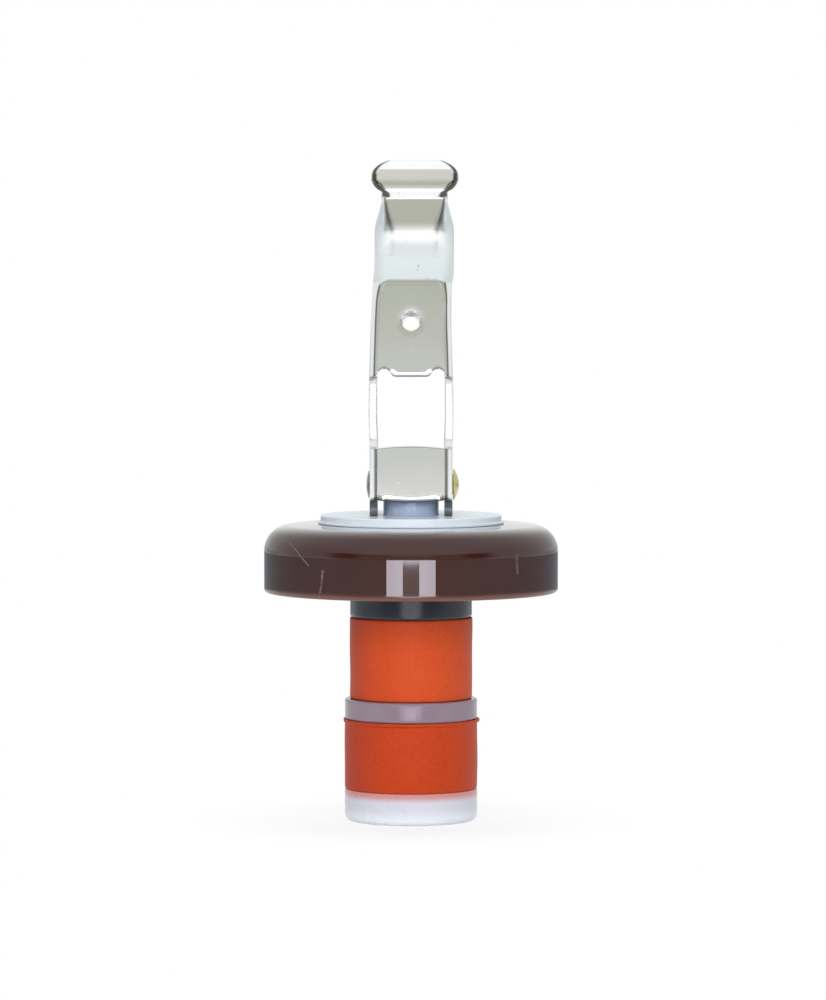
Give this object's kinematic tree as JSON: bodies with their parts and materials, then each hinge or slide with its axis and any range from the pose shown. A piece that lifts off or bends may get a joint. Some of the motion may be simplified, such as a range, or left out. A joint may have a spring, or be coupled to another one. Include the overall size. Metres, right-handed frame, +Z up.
{
  "type": "lever bottle stopper",
  "caption": "Lever-action bottle stopper: a chromed cam lever on a brass rivet draws a stem up through a brown disc and squeezes orange rubber sleeves in the bottle neck.",
  "frame": {"origin": "on the axis at the underside of the base plug", "axes": "+Z up along the stem, -Y towards the lever's web, +X towards the rivet's set head"},
  "size_m": [0.0404, 0.0404, 0.0907],
  "materials": {
    "brown_plastic": "glossy moulded maroon-brown",
    "slate_plastic": "glossy dark slate",
    "orange_rubber": "soft orange rubber",
    "lavender_plastic": "translucent lavender-grey",
    "white_plastic": "white",
    "screw_steel": "zinc plated",
    "grey_plastic": "blue-grey, polished",
    "pale_plastic": "pale blue-grey, translucent",
    "rivet_brass": "plain brass",
    "lever_chrome": "chrome plated stamping"
  },
  "bodies": {
    "cap": {"cap_disc": "brown_plastic", "neck_collar": "slate_plastic", "upper_rubber": "orange_rubber"},
    "ring": {"spacer_ring": "lavender_plastic", "lower_rubber": "orange_rubber"},
    "washer": {"bearing_washer": "pale_plastic"},
    "stem": {"stem": "grey_plastic", "pivot_rivet": "rivet_brass", "base_plug": "white_plastic", "end_screw": "screw_steel"},
    "lever": {"lever": "lever_chrome"}
  },
  "joints": [
    {"name": "swivel", "type": "hinge", "parent": "cap", "child": "washer", "pos_m": [0, 0, 0.0414], "axis": [0, 0, 1], "continuous": true},
    {"name": "stem_slide", "type": "slide", "parent": "washer", "child": "stem", "axis": [0, 0, 1], "range_m": [0, 0.0035], "deforming": ["lower_rubber"]},
    {"name": "lever_hinge", "type": "hinge", "parent": "stem", "child": "lever", "pos_m": [0, 0, 0.04615], "axis": [-1, 0, 0], "range_deg": [0, 90]},
    {"name": "ring_slide", "type": "slide", "parent": "cap", "child": "ring", "axis": [0, 0, 1], "range_m": [0, 0.00189], "deforming": ["upper_rubber"]}
  ],
  "couplings": [
    {"joint": "stem_slide", "follows": "lever_hinge", "m_per_rad": 0.002228},
    {"joint": "ring_slide", "follows": "lever_hinge", "m_per_rad": 0.0011997}
  ]
}
